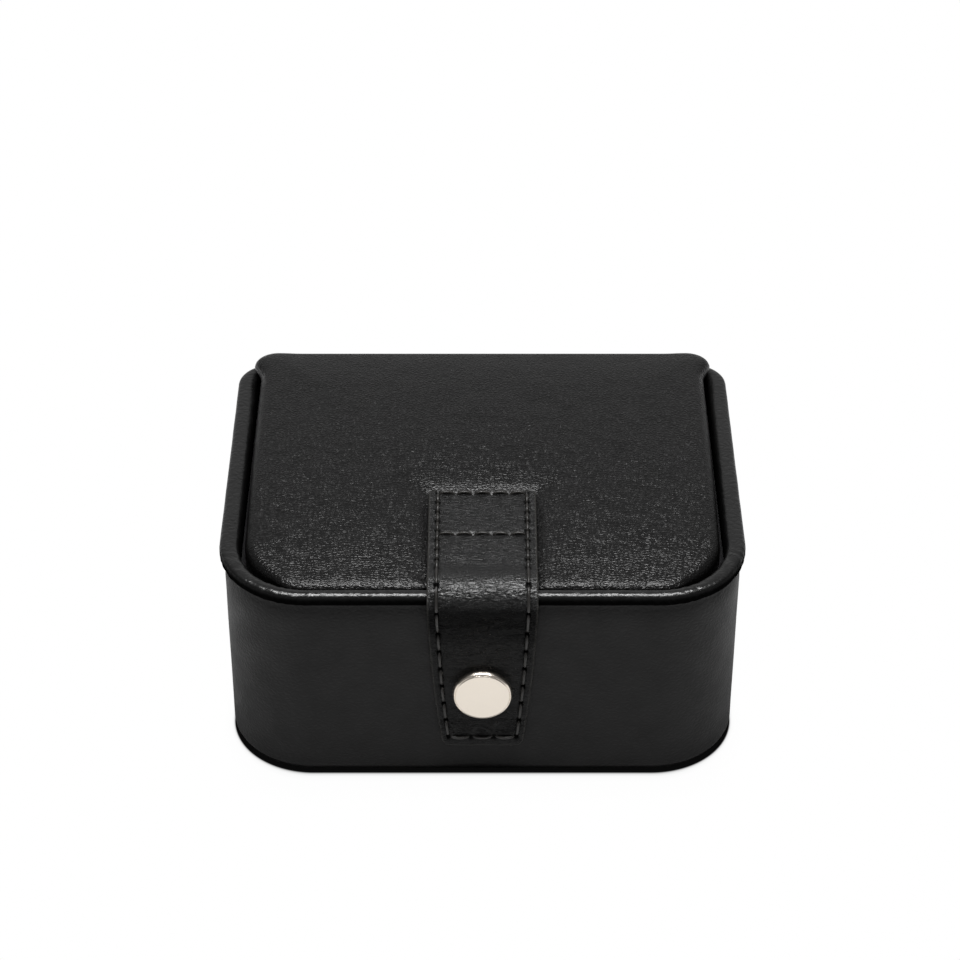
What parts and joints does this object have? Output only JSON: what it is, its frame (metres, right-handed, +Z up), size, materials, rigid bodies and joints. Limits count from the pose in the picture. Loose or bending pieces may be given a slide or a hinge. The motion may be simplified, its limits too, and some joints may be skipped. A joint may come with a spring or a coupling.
{
  "type": "cufflink box",
  "caption": "Leather-covered box with a rolled rim, a padded hinged lid, a strap closure with a round metal cap and divided suede lining.",
  "frame": {"origin": "middle of the underside, on the surface that the box stands on", "axes": "+X to the right seen from the front, +Y to the back, +Z up; the strap is at -Y"},
  "size_m": [0.0976, 0.078, 0.0472],
  "materials": {
    "grained_leather": "fine pebble grain, semi-matt",
    "strap_leather": "smooth, lightly waxed",
    "suede": "short nap",
    "board": "grey board",
    "foam": "soft foam",
    "cord": "twisted paper cord",
    "plated_steel": "nickel plated",
    "satin_nickel": "satin"
  },
  "bodies": {
    "case": {"base_board": "board", "base_cover": "grained_leather", "wall_board": "board", "back_board": "board", "wall_leather": "grained_leather", "back_leather": "grained_leather", "hinge_leather": "grained_leather", "rim_cord": "cord", "rim_leather": "grained_leather", "rim_facing": "grained_leather", "inner_frame": "board", "frame_lining": "suede", "floor_pad": "foam", "floor_lining": "suede", "long_divider": "suede", "cross_divider_left": "suede", "cross_divider_right": "suede", "keeper_disc": "plated_steel", "keeper_washer": "plated_steel"},
    "lid": {"lid_board": "board", "lid_foam": "foam", "lid_leather": "grained_leather", "lid_lining": "suede", "lid_pad": "suede", "strap_leather": "strap_leather", "strap_lining": "strap_leather", "strap_fold": "strap_leather"},
    "tab": {"tab_leather": "strap_leather", "tab_lining": "strap_leather", "tab_magnet": "plated_steel", "cap": "satin_nickel"}
  },
  "joints": [
    {"name": "lid_hinge", "type": "hinge", "parent": "case", "child": "lid", "pos_m": [0, 0.037, 0.0385], "axis": [-1, 0, 0], "range_deg": [0, 110], "deforming": ["hinge_leather"]},
    {"name": "tab_bend", "type": "hinge", "parent": "lid", "child": "tab", "pos_m": [0, -0.03817, 0.04387], "axis": [-1, 0, 0], "range_deg": [0, 120], "deforming": ["strap_fold"]}
  ]
}
